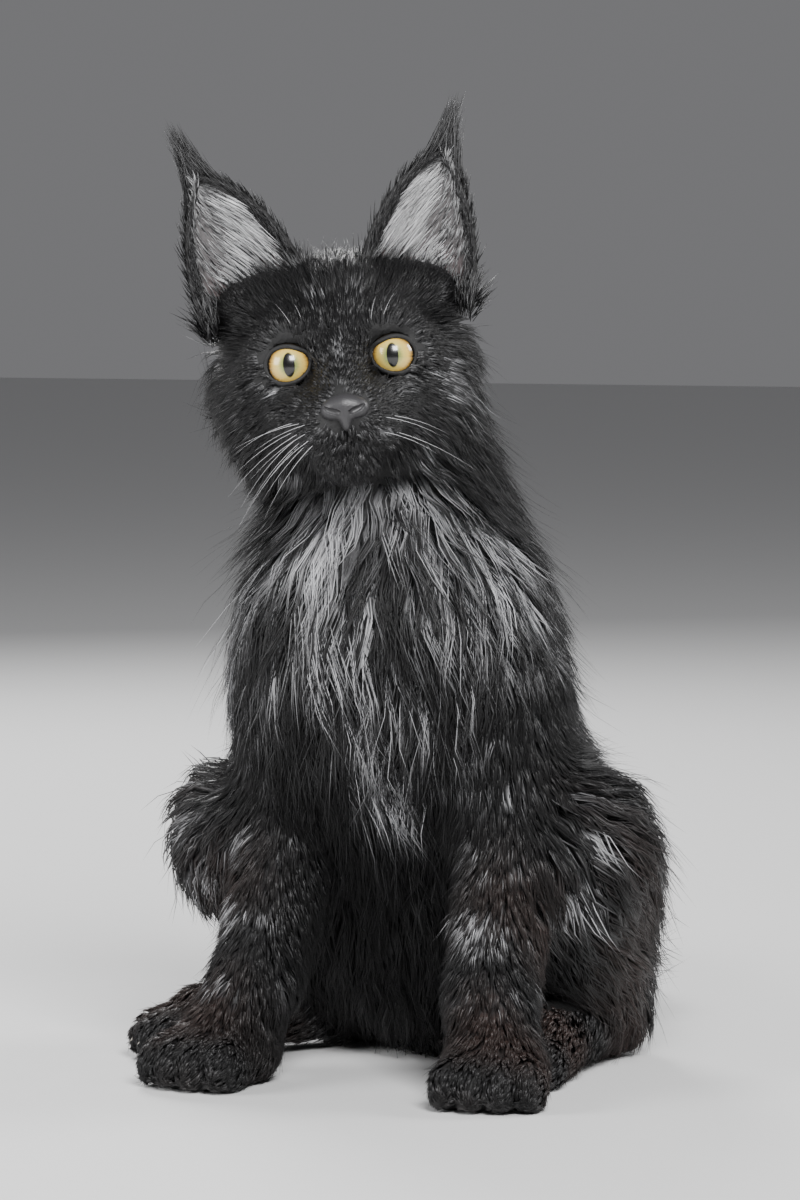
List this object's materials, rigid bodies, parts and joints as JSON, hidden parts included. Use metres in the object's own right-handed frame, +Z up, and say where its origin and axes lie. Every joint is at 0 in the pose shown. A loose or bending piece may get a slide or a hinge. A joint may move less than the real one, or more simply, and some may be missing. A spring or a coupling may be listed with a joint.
{
  "type": "seated maine coon cat",
  "caption": "Life-size still model of a long-haired black smoke cat, seated upright on its haunches, with tufted ears, ruffed neck and a plumed tail laid on the floor.",
  "frame": {"origin": "on the floor, under the middle of the box round the whole cat, tail and coat included", "axes": "-Y the way the chest and paws face, +X the cat's own left, +Z up"},
  "size_m": [0.3311, 0.5203, 0.4756],
  "materials": {
    "coat": "soft long fur, black smoke with silver grey under it",
    "iris": "wet and glossy, yellow amber"
  },
  "bodies": {
    "root": {"head": "coat", "neck": "coat", "torso": "coat", "tail_base": "coat", "tail_middle": "coat", "tail_tip": "coat", "ear_left": "coat", "foreleg_left": "coat", "forepaw_left": "coat", "thigh_left": "coat", "hind_foot_left": "coat", "ear_right": "coat", "foreleg_right": "coat", "forepaw_right": "coat", "thigh_right": "coat", "hind_foot_right": "coat", "eye_left": "iris", "eye_right": "iris"}
  },
  "joints": []
}
